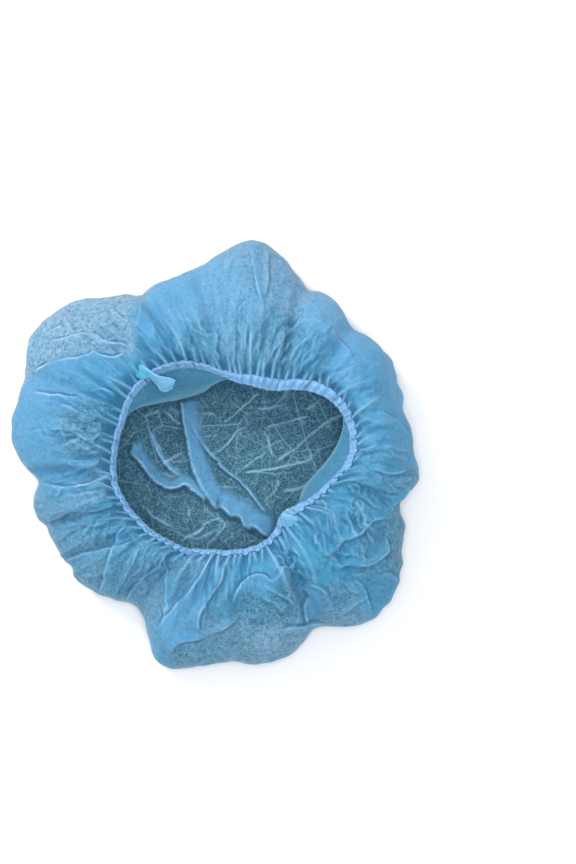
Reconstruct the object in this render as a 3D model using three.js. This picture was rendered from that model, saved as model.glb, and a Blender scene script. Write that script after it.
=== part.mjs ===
// A disposable hairnet of thin nonwoven cloth, lying open on its crown.
// Millimetres, +Z up, origin on the resting plane under the middle of its box.
// Angles are in degrees, counterclockwise seen from above, from +X.
import * as THREE from "three";

// Driving dimensions
const crownRadius = 160;
const mouthRadius = 84;
const mouthShiftX = 16;
const mouthShiftY = -8;
const crestHeight = 60;
const clothWall = 1.4;
const hemWall = 2.2;
const hemWidth = 6.5;
const flapWidth = 24;
const seamGap = 0.3;
const gatherCount = 48;
const gatherDepth = 1.5;
const foldDepth = 3.2;
const pleatDepth = 9;
const weldLength = 9;
const weldWidth = 10;
const weldThickness = 1.8;
const tongueLength = 10;
const tongueWidth = 5;
const tongueFlare = 9;

// The cloth's round form: a row for each lobe and each notch of the outline.
// mouth is a share of mouthRadius, reach of crownRadius, crest of crestHeight.
const sections = [
  { at: 3, mouth: 1.13, reach: 1.0, crest: 0.98 },
  { at: 16, mouth: 1.17, reach: 0.975, crest: 1.0 },
  { at: 28, mouth: 1.14, reach: 1.0, crest: 1.06 },
  { at: 43, mouth: 1.01, reach: 0.945, crest: 1.04 },
  { at: 54, mouth: 0.83, reach: 0.98, crest: 1.05 },
  { at: 61, mouth: 0.77, reach: 0.965, crest: 0.98 },
  { at: 78, mouth: 0.74, reach: 1.11, crest: 1.06 },
  { at: 95, mouth: 0.81, reach: 0.98, crest: 1.0 },
  { at: 114, mouth: 1.04, reach: 0.915, crest: 0.97 },
  { at: 130, mouth: 1.16, reach: 1.02, crest: 0.95 },
  { at: 146, mouth: 1.16, reach: 1.12, crest: 1.02 },
  { at: 158, mouth: 1.13, reach: 1.04, crest: 0.97 },
  { at: 172, mouth: 1.15, reach: 1.035, crest: 1.0 },
  { at: 189, mouth: 1.15, reach: 0.905, crest: 0.92 },
  { at: 198, mouth: 1.12, reach: 0.94, crest: 0.97 },
  { at: 210, mouth: 1.06, reach: 0.915, crest: 0.93 },
  { at: 226, mouth: 1.0, reach: 0.92, crest: 0.97 },
  { at: 241, mouth: 0.95, reach: 0.87, crest: 0.9 },
  { at: 259, mouth: 0.88, reach: 1.08, crest: 1.0 },
  { at: 273, mouth: 0.86, reach: 1.04, crest: 0.97 },
  { at: 290, mouth: 0.84, reach: 1.08, crest: 1.02 },
  { at: 300, mouth: 0.8, reach: 1.02, crest: 0.93 },
  { at: 311, mouth: 0.74, reach: 1.115, crest: 1.0 },
  { at: 324, mouth: 0.78, reach: 1.12, crest: 1.03 },
  { at: 344, mouth: 0.9, reach: 0.97, crest: 0.96 },
  { at: 353, mouth: 1.0, reach: 1.02, crest: 1.0 },
];

// The wall from the mouth's seam over the crest and belly to the floor.
// out runs from the mouth (0) to the reach (1), up is a share of the section's crest.
// gather, fold and pleat say how much of each depth the cloth has there.
const wallRows = [
  { out: 0.0, up: 0.84, gather: 1.0, fold: 0.0, pleat: 0.15, sides: 4 },
  { out: 0.07, up: 0.93, gather: 1.15, fold: 0.3, pleat: 0.3, sides: 4 },
  { out: 0.17, up: 0.99, gather: 0.9, fold: 0.8, pleat: 0.55, sides: 4 },
  { out: 0.29, up: 1.01, gather: 0.35, fold: 1.0, pleat: 0.8, sides: 4 },
  { out: 0.44, up: 0.98, gather: 0.0, fold: 0.9, pleat: 1.0, sides: 2 },
  { out: 0.6, up: 0.9, gather: 0.0, fold: 0.7, pleat: 1.0, sides: 2 },
  { out: 0.76, up: 0.77, gather: 0.0, fold: 0.6, pleat: 0.9, sides: 2 },
  { out: 0.9, up: 0.59, gather: 0.0, fold: 0.45, pleat: 0.7, sides: 2 },
  { out: 0.98, up: 0.41, gather: 0.0, fold: 0.35, pleat: 0.5, sides: 2 },
  { out: 1.0, up: 0.27, gather: 0.0, fold: 0.3, pleat: 0.35, sides: 2 },
  { out: 0.965, up: 0.12, gather: 0.0, fold: 0.2, pleat: 0.2, sides: 2 },
  { out: 0.88, up: 0.02, gather: 0.0, fold: 0.05, pleat: 0.0, sides: 2 },
];

// The floor's rings, as shares of the reach. sides is the points of a ring for each gather.
const floorRows = [
  { reach: 0.82, sides: 2 },
  { reach: 0.74, sides: 2 },
  { reach: 0.66, sides: 2 },
  { reach: 0.58, sides: 2 },
  { reach: 0.5, sides: 2 },
  { reach: 0.42, sides: 2 },
  { reach: 0.34, sides: 1 },
  { reach: 0.26, sides: 1 },
  { reach: 0.18, sides: 1 },
  { reach: 0.1, sides: 0.5 },
];

// Long valleys that run over the wall. half is the half width, in degrees.
const pleats = [
  { at: 43, depth: 0.55, half: 5 },
  { at: 62, depth: 0.5, half: 4 },
  { at: 96, depth: 0.5, half: 5 },
  { at: 115, depth: 0.8, half: 5 },
  { at: 158, depth: 0.45, half: 4 },
  { at: 188, depth: 0.9, half: 4 },
  { at: 204, depth: 0.7, half: 3.5 },
  { at: 218, depth: 0.8, half: 4 },
  { at: 241, depth: 1.0, half: 5 },
  { at: 252, depth: 0.6, half: 3.5 },
  { at: 276, depth: 0.5, half: 4 },
  { at: 300, depth: 0.9, half: 4 },
  { at: 317, depth: 0.4, half: 3 },
  { at: 332, depth: 0.5, half: 3.5 },
  { at: 343, depth: 0.7, half: 4 },
];

// Crumpled folds that stand up from the floor. x and y are shares of crownRadius,
// high of crestHeight, half is the half width as a share of crownRadius.
const ridges = [
  { x0: -0.2, y0: 0.27, x1: -0.13, y1: 0.02, high: 0.15, half: 0.06 },
  { x0: -0.13, y0: 0.02, x1: -0.06, y1: -0.2, high: 0.2, half: 0.08 },
  { x0: -0.06, y0: -0.2, x1: 0.08, y1: -0.33, high: 0.2, half: 0.085 },
  { x0: 0.08, y0: -0.33, x1: 0.24, y1: -0.43, high: 0.16, half: 0.075 },
  { x0: -0.42, y0: 0.1, x1: -0.34, y1: -0.06, high: 0.12, half: 0.065 },
  { x0: -0.34, y0: -0.06, x1: -0.18, y1: -0.2, high: 0.12, half: 0.065 },
  { x0: -0.18, y0: -0.2, x1: -0.05, y1: -0.26, high: 0.1, half: 0.06 },
];

// The smooth inner flaps, where the folded edge is wider below the mouth.
const flaps = [
  { at: 116, half: 33, drop: 1.0 },
  { at: -2, half: 36, drop: 0.85 },
];

// The welds that close the folded edge. tongue is a share of tongueLength, flare of tongueFlare,
// and aside is the angle by which the tongue is turned away from the mouth's middle.
const welds = {
  left: { at: 135.5, tongue: 1.0, flare: 1.0, aside: 40 },
  right: { at: 311, tongue: 0.35, flare: 0.4, aside: 30 },
};
const mouthCentre = new THREE.Vector2(mouthShiftX, mouthShiftY);
const stations = gatherCount * 4;
const turn = 360;
const foldsPerGather = 0.5;
const hemSlope = THREE.MathUtils.degToRad(26);
const flapSlope = THREE.MathUtils.degToRad(36);
const weldPitch = THREE.MathUtils.degToRad(16);

function material(color, roughness, opacity) {
  return new THREE.MeshStandardMaterial({
    color, roughness, metalness: 0, opacity, transparent: opacity < 1, side: THREE.DoubleSide,
  });
}

function wrapped(degrees) {
  return THREE.MathUtils.euclideanModulo(degrees, turn);
}

// Smooth value of one column of a table round the whole turn, by a cubic through its rows.
function roundTable(rows, column, degrees) {
  const count = rows.length;
  const angle = wrapped(degrees);
  let next = rows.findIndex((row) => row.at > angle);
  if (next < 0) {
    next = 0;
  }
  const pick = (index) => rows[THREE.MathUtils.euclideanModulo(index, count)];
  const low = pick(next - 1);
  const high = pick(next);
  const span = wrapped(high.at - low.at);
  const t = wrapped(angle - low.at) / span;
  const slope = (index) => {
    const before = pick(index - 1);
    const after = pick(index + 1);
    return (after[column] - before[column]) / wrapped(after.at - before.at);
  };
  const t2 = t * t;
  const t3 = t2 * t;
  return (
    (2 * t3 - 3 * t2 + 1) * low[column] +
    (t3 - 2 * t2 + t) * span * slope(next - 1) +
    (3 * t2 - 2 * t3) * high[column] +
    (t3 - t2) * span * slope(next)
  );
}

// 1 at the middle of a valley and 0 from its half width on, over angles.
function bump(degrees, middle, half) {
  const away = Math.abs(wrapped(degrees - middle + turn / 2) - turn / 2) / half;
  return away < 1 ? 0.5 + 0.5 * Math.cos(Math.PI * away) : 0;
}

function sectionAt(degrees) {
  return {
    mouth: mouthRadius * roundTable(sections, "mouth", degrees),
    reach: crownRadius * roundTable(sections, "reach", degrees),
    crest: crestHeight * roundTable(sections, "crest", degrees),
    pleat: pleatDepth * pleats.reduce((sum, row) => sum + row.depth * bump(degrees, row.at, row.half), 0),
  };
}

function gatherWave(degrees) {
  return Math.cos(THREE.MathUtils.degToRad(degrees * gatherCount));
}

function foldWave(degrees) {
  return Math.cos(THREE.MathUtils.degToRad(degrees * gatherCount * foldsPerGather) + 0.6);
}

// Height of the crumpled folds above the flat floor.
function floorRise(x, y) {
  let rise = 0;
  for (const row of ridges) {
    const from = new THREE.Vector2(row.x0, row.y0).multiplyScalar(crownRadius);
    const along = new THREE.Vector2(row.x1, row.y1).multiplyScalar(crownRadius).sub(from);
    const point = new THREE.Vector2(x, y).sub(from);
    const share = THREE.MathUtils.clamp(point.dot(along) / along.lengthSq(), 0, 1);
    const away = point.distanceTo(along.multiplyScalar(share)) / (row.half * crownRadius);
    if (away < 1) {
      rise = Math.max(rise, row.high * crestHeight * (0.5 + 0.5 * Math.cos(Math.PI * away)));
    }
  }
  return rise;
}

// A point of the wall's middle surface before its small waves, and its place in the wall.
function smoothWallPoint(section, degrees, out, up) {
  const angle = THREE.MathUtils.degToRad(degrees);
  const radius = THREE.MathUtils.lerp(section.mouth, section.reach, out);
  const centre = mouthCentre.clone().multiplyScalar(1 - out);
  return new THREE.Vector3(
    centre.x + radius * Math.cos(angle),
    centre.y + radius * Math.sin(angle),
    up * section.crest,
  );
}

// Outward direction of the wall at a row, square to the section's run.
function wallNormal(section, degrees, rowIndex) {
  const before = wallRows[Math.max(rowIndex - 1, 0)];
  const after = wallRows[Math.min(rowIndex + 1, wallRows.length - 1)];
  const angle = THREE.MathUtils.degToRad(degrees);
  const start = smoothWallPoint(section, degrees, before.out, before.up);
  const end = smoothWallPoint(section, degrees, after.out, after.up);
  const run = end.sub(start);
  const radial = run.x * Math.cos(angle) + run.y * Math.sin(angle);
  return new THREE.Vector3(-run.z * Math.cos(angle), -run.z * Math.sin(angle), radial).normalize();
}

// One ring of the wall, as its outer and inner points.
function wallRing(rowIndex) {
  const row = wallRows[rowIndex];
  const count = Math.round(gatherCount * row.sides);
  const outer = [];
  const inner = [];
  for (let index = 0; index < count; index += 1) {
    const degrees = (turn * index) / count;
    const section = sectionAt(degrees);
    const normal = wallNormal(section, degrees, rowIndex);
    const wave =
      row.gather * gatherDepth * gatherWave(degrees) +
      row.fold * foldDepth * 0.5 * foldWave(degrees) -
      row.pleat * section.pleat;
    const point = smoothWallPoint(section, degrees, row.out, row.up).addScaledVector(normal, wave);
    point.z = Math.max(point.z, 0);
    const within = point.clone().addScaledVector(normal, -clothWall);
    within.z = Math.max(within.z, clothWall);
    outer.push(point);
    inner.push(within);
  }
  return { outer, inner };
}

// One ring of the floor, as its lower and upper points.
function floorRing(row) {
  const count = Math.round(gatherCount * row.sides);
  const outer = [];
  const inner = [];
  for (let index = 0; index < count; index += 1) {
    const degrees = (turn * index) / count;
    const angle = THREE.MathUtils.degToRad(degrees);
    const radius = row.reach * sectionAt(degrees).reach;
    const x = radius * Math.cos(angle);
    const y = radius * Math.sin(angle);
    const rise = floorRise(x, y);
    outer.push(new THREE.Vector3(x, y, rise));
    inner.push(new THREE.Vector3(x, y, rise + clothWall));
  }
  return { outer, inner };
}

// Collects points and triangles of one closed body.
class Body {
  constructor() {
    this.positions = [];
    this.triangles = [];
  }

  addRing(points) {
    const first = this.positions.length;
    this.positions.push(...points);
    return Array.from(points, (_, index) => first + index);
  }

  // Joins two closed rings whose counts may differ, walking both by their share of the turn.
  bandBetween(lower, upper) {
    let low = 0;
    let high = 0;
    while (low < lower.length || high < upper.length) {
      const lowPoint = lower[low % lower.length];
      const highPoint = upper[high % upper.length];
      const lowNext = (low + 1) / lower.length;
      const highNext = (high + 1) / upper.length;
      if (high >= upper.length || (low < lower.length && lowNext <= highNext)) {
        this.triangles.push(lowPoint, lower[(low + 1) % lower.length], highPoint);
        low += 1;
      } else {
        this.triangles.push(lowPoint, upper[(high + 1) % upper.length], highPoint);
        high += 1;
      }
    }
  }

  fanFrom(centre, ring) {
    const middle = this.positions.length;
    this.positions.push(centre);
    ring.forEach((point, index) => {
      this.triangles.push(middle, ring[(index + 1) % ring.length], point);
    });
  }

  fanTo(ring, centre) {
    const middle = this.positions.length;
    this.positions.push(centre);
    ring.forEach((point, index) => {
      this.triangles.push(middle, point, ring[(index + 1) % ring.length]);
    });
  }

  geometry() {
    const shape = new THREE.BufferGeometry();
    const values = this.positions.flatMap((point) => point.toArray());
    shape.setAttribute("position", new THREE.Float32BufferAttribute(values, 3));
    shape.setIndex(this.triangles);
    shape.computeVertexNormals();
    return shape;
  }
}

function makeCrown() {
  const body = new Body();
  const rings = [
    ...floorRows.map(floorRing).reverse(),
    ...wallRows.map((_, index) => wallRing(index)).reverse(),
  ];
  const outer = rings.map((ring) => body.addRing(ring.outer));
  const inner = rings.map((ring) => body.addRing(ring.inner));
  const middleRise = floorRise(0, 0);
  body.fanFrom(new THREE.Vector3(0, 0, middleRise), outer[0]);
  body.fanTo(inner[0], new THREE.Vector3(0, 0, middleRise + clothWall));
  for (let index = 1; index < rings.length; index += 1) {
    body.bandBetween(outer[index - 1], outer[index]);
    body.bandBetween(inner[index], inner[index - 1]);
  }
  body.bandBetween(outer.at(-1), inner.at(-1));
  return new THREE.Mesh(body.geometry(), material(0x6fb4d8, 0.72, 0.94));
}

// One section of the folded edge: its lower face from the seam inwards, then its upper face back.
function hemSection(degrees) {
  const angle = THREE.MathUtils.degToRad(degrees);
  const section = sectionAt(degrees);
  const widening = flaps.reduce((sum, row) => sum + row.drop * bump(degrees, row.at, row.half), 0);
  const seam = smoothWallPoint(section, degrees, 0, wallRows[0].up);
  const inward = new THREE.Vector3(-Math.cos(angle), -Math.sin(angle), 0);
  const wave = gatherDepth * gatherWave(degrees) - wallRows[0].pleat * section.pleat;
  const lean = wallNormal(section, degrees, 0);
  const start = seam.addScaledVector(lean, wave - clothWall * 0.5);
  const direction = (slope) => inward.clone().multiplyScalar(Math.cos(slope)).setZ(-Math.sin(slope));
  const runs = [
    { length: seamGap + hemWall * 0.5, slope: 0 },
    { length: hemWidth * 0.6, slope: hemSlope },
    { length: hemWidth * 0.4 + flapWidth * widening, slope: flapSlope },
  ];
  const faces = { lower: [], upper: [] };
  const point = start.clone();
  runs.forEach((run) => {
    const step = direction(run.slope);
    const square = inward.clone().multiplyScalar(Math.sin(run.slope)).setZ(Math.cos(run.slope));
    point.addScaledVector(step, run.length);
    faces.lower.push(point.clone().addScaledVector(square, -hemWall * 0.5));
    faces.upper.push(point.clone().addScaledVector(square, hemWall * 0.5));
  });
  return [...faces.lower, ...faces.upper.reverse()];
}

function makeHem(fromDegrees, toDegrees, color) {
  const body = new Body();
  const steps = Math.round((Math.abs(toDegrees - fromDegrees) / turn) * stations);
  const sectionsPlaced = [];
  for (let index = 0; index <= steps; index += 1) {
    const degrees = THREE.MathUtils.lerp(fromDegrees, toDegrees, index / steps);
    sectionsPlaced.push(body.addRing(hemSection(degrees)));
  }
  for (let index = 1; index < sectionsPlaced.length; index += 1) {
    body.bandBetween(sectionsPlaced[index], sectionsPlaced[index - 1]);
  }
  const middleOf = (ring) =>
    ring.reduce((sum, point) => sum.add(body.positions[point]), new THREE.Vector3()).divideScalar(ring.length);
  body.fanTo(sectionsPlaced[0], middleOf(sectionsPlaced[0]));
  body.fanFrom(middleOf(sectionsPlaced.at(-1)), sectionsPlaced.at(-1));
  return new THREE.Mesh(body.geometry(), material(color, 0.65, 1));
}

// A flattened weld that lies between the ends of both hems, with its tongue into the mouth.
function makeWeld(row) {
  const half = weldLength / 2;
  const aside = THREE.MathUtils.degToRad(row.aside);
  const along = new THREE.Vector2(Math.cos(aside), Math.sin(aside));
  const across = new THREE.Vector2(-along.y, along.x);
  const tip = along.multiplyScalar(tongueLength * row.tongue).add(new THREE.Vector2(weldWidth, 0));
  const tipHalf = (tongueWidth + tongueFlare * row.flare) / 2;
  const outline = new THREE.Shape();
  outline.moveTo(0, -half);
  outline.lineTo(weldWidth, -tongueWidth / 2);
  outline.lineTo(tip.x - across.x * tipHalf, tip.y - across.y * tipHalf);
  outline.lineTo(tip.x + across.x * tipHalf, tip.y + across.y * tipHalf);
  outline.lineTo(weldWidth, tongueWidth / 2);
  outline.lineTo(0, half);
  const shape = new THREE.ExtrudeGeometry(outline, { depth: weldThickness, bevelEnabled: false });
  shape.translate(0, 0, -weldThickness / 2);
  const weld = new THREE.Mesh(shape, material(0x58bfd6, 0.5, 1));
  const angle = THREE.MathUtils.degToRad(row.at);
  const section = sectionAt(row.at);
  const inset = gatherDepth + clothWall + seamGap;
  const seam = smoothWallPoint(section, row.at, 0, wallRows[0].up);
  weld.position.set(
    seam.x - inset * Math.cos(angle),
    seam.y - inset * Math.sin(angle),
    seam.z - clothWall / 2,
  );
  weld.rotation.order = "ZYX";
  weld.rotation.z = angle + Math.PI;
  weld.rotation.y = weldPitch;
  return weld;
}

// Half of the angle that a weld and its gaps take up, at the inner end of the folded edge.
function weldClearance(degrees) {
  const innerRadius = sectionAt(degrees).mouth - hemWidth - clothWall - gatherDepth;
  return THREE.MathUtils.radToDeg((weldLength / 2 + seamGap) / innerRadius);
}

const hairnet = new THREE.Group();

function addPiece(name, mesh) {
  mesh.name = name;
  hairnet.add(mesh);
}

const leftClearance = weldClearance(welds.left.at);
const rightClearance = weldClearance(welds.right.at);

addPiece("crown", makeCrown());
addPiece(
  "hem_back",
  makeHem(welds.left.at - leftClearance, welds.right.at - turn + rightClearance, 0x8cc6e6),
);
addPiece("hem_front", makeHem(welds.right.at - rightClearance, welds.left.at + leftClearance, 0x7dbbdd));
addPiece("end_weld_left", makeWeld(welds.left));
addPiece("end_weld_right", makeWeld(welds.right));

// The origin goes under the middle of the whole thing's box.
const outerBox = new THREE.Box3().setFromObject(hairnet, true);
const boxMiddle = outerBox.getCenter(new THREE.Vector3());
hairnet.position.set(-boxMiddle.x, -boxMiddle.y, -outerBox.min.z);

export default hairnet;
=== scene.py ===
"""A disposable hairnet of thin nonwoven cloth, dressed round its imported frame. Metres, +Z up."""
import math

import bpy
import numpy as np
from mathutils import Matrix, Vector


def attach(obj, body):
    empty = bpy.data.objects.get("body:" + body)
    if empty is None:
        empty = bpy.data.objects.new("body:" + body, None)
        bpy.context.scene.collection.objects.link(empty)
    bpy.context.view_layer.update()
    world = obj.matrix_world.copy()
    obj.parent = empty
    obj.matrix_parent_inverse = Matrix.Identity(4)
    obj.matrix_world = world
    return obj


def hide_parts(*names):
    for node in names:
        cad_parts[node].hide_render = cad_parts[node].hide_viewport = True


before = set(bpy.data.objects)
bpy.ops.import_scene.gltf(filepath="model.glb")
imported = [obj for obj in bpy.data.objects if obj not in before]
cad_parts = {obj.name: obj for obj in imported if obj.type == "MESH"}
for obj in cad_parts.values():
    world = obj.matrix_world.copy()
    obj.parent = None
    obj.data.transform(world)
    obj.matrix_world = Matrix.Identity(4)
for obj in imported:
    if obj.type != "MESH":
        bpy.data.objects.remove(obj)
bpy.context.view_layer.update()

MM = 0.001
SEED = 7

# The cap's form, as in its solids: lengths in millimetres, angles in degrees
CROWN_RADIUS = 160.0
MOUTH_RADIUS = 84.0
MOUTH_CENTRE = np.array([16.0, -8.0])
CREST_HEIGHT = 60.0
ORIGIN_SHIFT = np.array([0.25, -1.14, 0.0])
HEM_WIDTH = 6.5
FLAP_WIDTH = 30.0
WELD_ANGLES = {"left": 135.5, "right": 311.0}
PLEAT_DEPTH = 9.0
LEAN = np.array([-0.8, 4.3])

# The view from above. Tables whose places are x, y of the frame use its pixels.
FRAME_SIZE = (576, 864)
FRAME_CAP = (216.0, 456.0)
FRAME_STEP = 0.8
FRAME_HEIGHT = 25.0
ELEVATION = math.radians(80.0)
MOUTH_VIEW = (236.0, 461.0)

# at, mouth as a share of MOUTH_RADIUS, reach of CROWN_RADIUS, crest of CREST_HEIGHT
SECTIONS = [
    (3, 1.13, 1.0, 0.98),
    (16, 1.17, 0.975, 1.0),
    (28, 1.175, 1.0, 1.06),
    (43, 1.1, 0.945, 1.04),
    (54, 0.98, 0.98, 1.05),
    (61, 0.91, 0.965, 0.98),
    (78, 0.85, 1.11, 1.06),
    (95, 0.865, 0.98, 1.0),
    (114, 1.06, 0.915, 0.97),
    (130, 1.18, 1.02, 0.95),
    (146, 1.2, 1.12, 1.02),
    (158, 1.17, 1.04, 0.97),
    (172, 1.165, 1.035, 1.0),
    (189, 1.17, 0.905, 0.92),
    (198, 1.14, 0.94, 0.97),
    (210, 1.08, 0.915, 0.93),
    (226, 1.02, 0.92, 0.97),
    (241, 0.965, 0.87, 0.9),
    (247, 0.93, 0.9, 0.95),
    (253, 0.9, 1.05, 1.0),
    (259, 0.895, 1.08, 1.0),
    (273, 0.875, 1.04, 0.97),
    (290, 0.85, 1.08, 1.02),
    (300, 0.8, 1.02, 0.93),
    (311, 0.74, 1.115, 1.0),
    (324, 0.78, 1.12, 1.03),
    (344, 0.9, 0.97, 0.96),
    (353, 1.0, 1.02, 1.0),
]

# The wall from the mouth's seam (out 0) to the reach (out 1) and under to the floor.
# out, up as a share of the crest, pleat as a share of its depth
WALL = [
    (0.0, 0.84, 0.15),
    (0.07, 0.93, 0.3),
    (0.17, 0.99, 0.55),
    (0.29, 1.01, 0.8),
    (0.44, 0.98, 1.0),
    (0.6, 0.9, 1.0),
    (0.76, 0.77, 0.9),
    (0.9, 0.59, 0.7),
    (0.98, 0.41, 0.5),
    (1.0, 0.27, 0.35),
    (0.965, 0.12, 0.2),
    (0.88, 0.02, 0.0),
]

# Long valleys over the wall: at, depth as a share of PLEAT_DEPTH, half width in degrees
PLEATS = [
    (43, 0.55, 5),
    (62, 0.5, 4),
    (96, 0.5, 5),
    (115, 0.8, 5),
    (158, 0.45, 4),
    (188, 0.9, 4),
    (204, 0.7, 3.5),
    (218, 0.8, 4),
    (241, 1.0, 5),
    (252, 0.6, 3.5),
    (276, 0.5, 4),
    (300, 0.9, 4),
    (317, 0.4, 3),
    (332, 0.5, 3.5),
    (343, 0.7, 4),
]

# Folds that lie over the wall: the frame's points that the fold's edge runs through, its height
# in millimetres, and how far the doubled cloth runs back, to the right of the way it is drawn
# where soft is above 0 and to the left where it is below 0.
WALL_FOLDS = [
    (((33, 392), (58, 396), (86, 397)), 3.2, 14),
    (((60, 405), (74, 407), (88, 415)), 2.0, 6),
    (((90, 394), (101, 388), (112, 390), (121, 400)), 2.2, 5),
    (((52, 428), (75, 430), (95, 445)), 2.4, -7),
    (((95, 445), (101, 437), (108, 436)), 2.0, -4),
    (((66, 448), (80, 440), (92, 449), (106, 452)), 2.2, 6),
    (((25, 433), (54, 429)), 1.2, 8),
    (((60, 474), (76, 474), (88, 466), (104, 464)), 2.4, -7),
    (((42, 481), (75, 489), (97, 481), (116, 472)), 3.0, 9),
    (((46, 524), (77, 509), (88, 513), (122, 503)), 3.4, -9),
    (((58, 542), (84, 524), (100, 517)), 1.4, -6),
    (((67, 558), (106, 546), (141, 538)), 2.6, 12),
    (((101, 592), (117, 550), (119, 532), (131, 520)), 3.4, 10),
    (((116, 596), (134, 565), (145, 542)), 2.2, -7),
    (((125, 604), (141, 579), (161, 566), (170, 549)), 3.0, 7),
    (((163, 614), (172, 582), (168, 560)), 2.4, 5),
    (((154, 626), (177, 600), (195, 585), (210, 560), (214, 547)), 4.2, 14),
    (((201, 628), (201, 607), (213, 592), (223, 578), (228, 560)), 3.4, -11),
    (((172, 650), (180, 634), (201, 634), (218, 625), (233, 619), (243, 612)), 3.6, -9),
    (((233, 600), (243, 576), (262, 567), (276, 577), (279, 562), (291, 565), (296, 552)), 4.2, 11),
    (((262, 580), (280, 588), (294, 604)), 2.0, -4),
    (((259, 588), (274, 596), (286, 609)), 2.0, -4),
    (((300, 586), (312, 591), (304, 606), (306, 622)), 4.0, -16),
    (((277, 625), (291, 620), (306, 621), (326, 624)), 3.0, 8),
    (((306, 580), (318, 578), (329, 592), (332, 611)), 2.6, 7),
    (((316, 512), (321, 530), (324, 549)), 2.6, -8),
    (((330, 508), (336, 528), (339, 546)), 2.6, -8),
    (((341, 502), (348, 520), (351, 536)), 2.6, -8),
    (((350, 496), (359, 512), (366, 526)), 2.6, -8),
    (((357, 489), (369, 503), (377, 516)), 2.4, -7),
    (((318, 551), (334, 550), (339, 536), (352, 535), (364, 527), (371, 518), (385, 515)), 3.6, -10),
    (((385, 515), (392, 503), (402, 497), (411, 482)), 3.0, -10),
    (((334, 566), (346, 560), (357, 563), (375, 560), (389, 545), (386, 533)), 3.4, -9),
    (((352, 572), (366, 590), (369, 614)), 3.2, 10),
    (((375, 575), (386, 569), (403, 584)), 2.0, 5),
    (((339, 613), (352, 600), (368, 593)), 2.0, -5),
    (((31, 373), (48, 364), (71, 360), (92, 358), (97, 352), (105, 359), (121, 358), (128, 350)), 3.6, 15),
    (((50, 341), (71, 339), (98, 335), (107, 344), (126, 345), (132, 352)), 2.4, 7),
    (((112, 308), (126, 325), (141, 321)), 1.8, 5),
    (((62, 314), (74, 332), (81, 339)), 1.6, 4),
    (((27, 335), (31, 368)), 1.8, -6),
    (((189, 322), (194, 331), (207, 337), (218, 334)), 2.4, 6),
    (((190, 324), (193, 353)), 2.0, 4),
    (((138, 296), (141, 321), (132, 336)), 1.8, -8),
    (((250, 246), (255, 280), (262, 302)), 2.6, -10),
    (((267, 246), (269, 280), (266, 298)), 2.4, 5),
    (((237, 318), (241, 306), (252, 298)), 2.0, 5),
    (((274, 328), (276, 322), (293, 316)), 1.8, 5),
    (((261, 375), (275, 349), (297, 325)), 2.2, -5),
    (((278, 363), (288, 345), (301, 335)), 2.2, -5),
    (((289, 364), (299, 348), (312, 339)), 2.2, -5),
    (((300, 366), (309, 352), (320, 347)), 2.0, -4),
    (((253, 372), (251, 337), (255, 320)), 2.2, 7),
    (((222, 366), (216, 346), (221, 330)), 2.0, -6),
    (((330, 330), (344, 340), (352, 362)), 1.8, 8),
    (((374, 412), (396, 420), (408, 436)), 1.8, 6),
    (((378, 446), (398, 451), (414, 449)), 1.8, -7),
    (((368, 466), (390, 474), (409, 470)), 2.4, -8),
    (((360, 480), (384, 490), (398, 488)), 2.2, -7),
]

# Creases and crumpled folds on the floor inside: as above
FLOOR_FOLDS = [
    (((177, 398), (183, 425), (186, 450), (196, 482), (205, 496), (214, 511), (222, 508)), 8.0, -23),
    (((214, 509), (223, 509), (230, 519), (239, 518), (245, 531), (254, 527), (263, 538)), 8.0, -26),
    (((254, 527), (263, 538), (275, 541)), 8.0, -24),
    (((189, 424), (203, 447), (226, 474), (240, 483), (252, 498), (268, 517)), 5.0, -5),
    (((130, 439), (132, 448), (127, 456), (136, 460), (144, 473), (160, 489), (174, 492)), 6.0, -15),
    (((160, 489), (174, 492), (184, 483), (195, 495), (209, 505)), 6.0, -13),
    (((146, 428), (152, 448), (166, 470), (182, 478)), 3.0, -7),
    (((158, 472), (172, 476), (186, 474)), 2.0, 5),
    (((165, 402), (174, 414), (190, 409)), 1.6, 5),
    (((212, 510), (222, 528), (205, 548)), 1.6, -5),
    (((176, 532), (192, 540), (205, 536), (226, 527)), 1.6, 4),
]
FLOOR_CREASES = [
    (((262, 390), (243, 407), (220, 426)), 1.3, 3),
    (((326, 397), (303, 412)), 1.3, 3),
    (((350, 413), (322, 426), (304, 443), (275, 465)), 1.7, 4),
    (((312, 416), (284, 423), (262, 429)), 1.2, 3),
    (((249, 426), (237, 431), (227, 447), (206, 460)), 1.2, 3),
    (((316, 458), (290, 468), (262, 472), (240, 474)), 1.4, 3),
    (((263, 430), (271, 446), (272, 462)), 1.0, 3),
    (((306, 446), (315, 460), (318, 478)), 1.2, 3),
    (((279, 477), (277, 488), (261, 506)), 1.2, -3),
    (((280, 493), (299, 489), (318, 483)), 1.2, 3),
    (((198, 526), (218, 518), (228, 527), (214, 538)), 1.2, 3),
    (((141, 422), (162, 454)), 0.9, 3),
    (((159, 408), (175, 424), (184, 424)), 1.2, -3),
    (((188, 413), (213, 412), (217, 420)), 0.9, 3),
    (((134, 420), (148, 412), (162, 409)), 0.9, 3),
    (((251, 406), (265, 409), (289, 402)), 1.0, 3),
    (((226, 484), (241, 469), (268, 452)), 1.3, 3),
    (((158, 467), (170, 459), (184, 451)), 1.2, 3),
    (((193, 438), (222, 434)), 1.0, 3),
    (((138, 502), (157, 520), (174, 528)), 1.2, 4),
    (((184, 498), (188, 510), (190, 520)), 1.0, 3),
    (((178, 542), (198, 532), (206, 524)), 1.0, 3),
]

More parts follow.
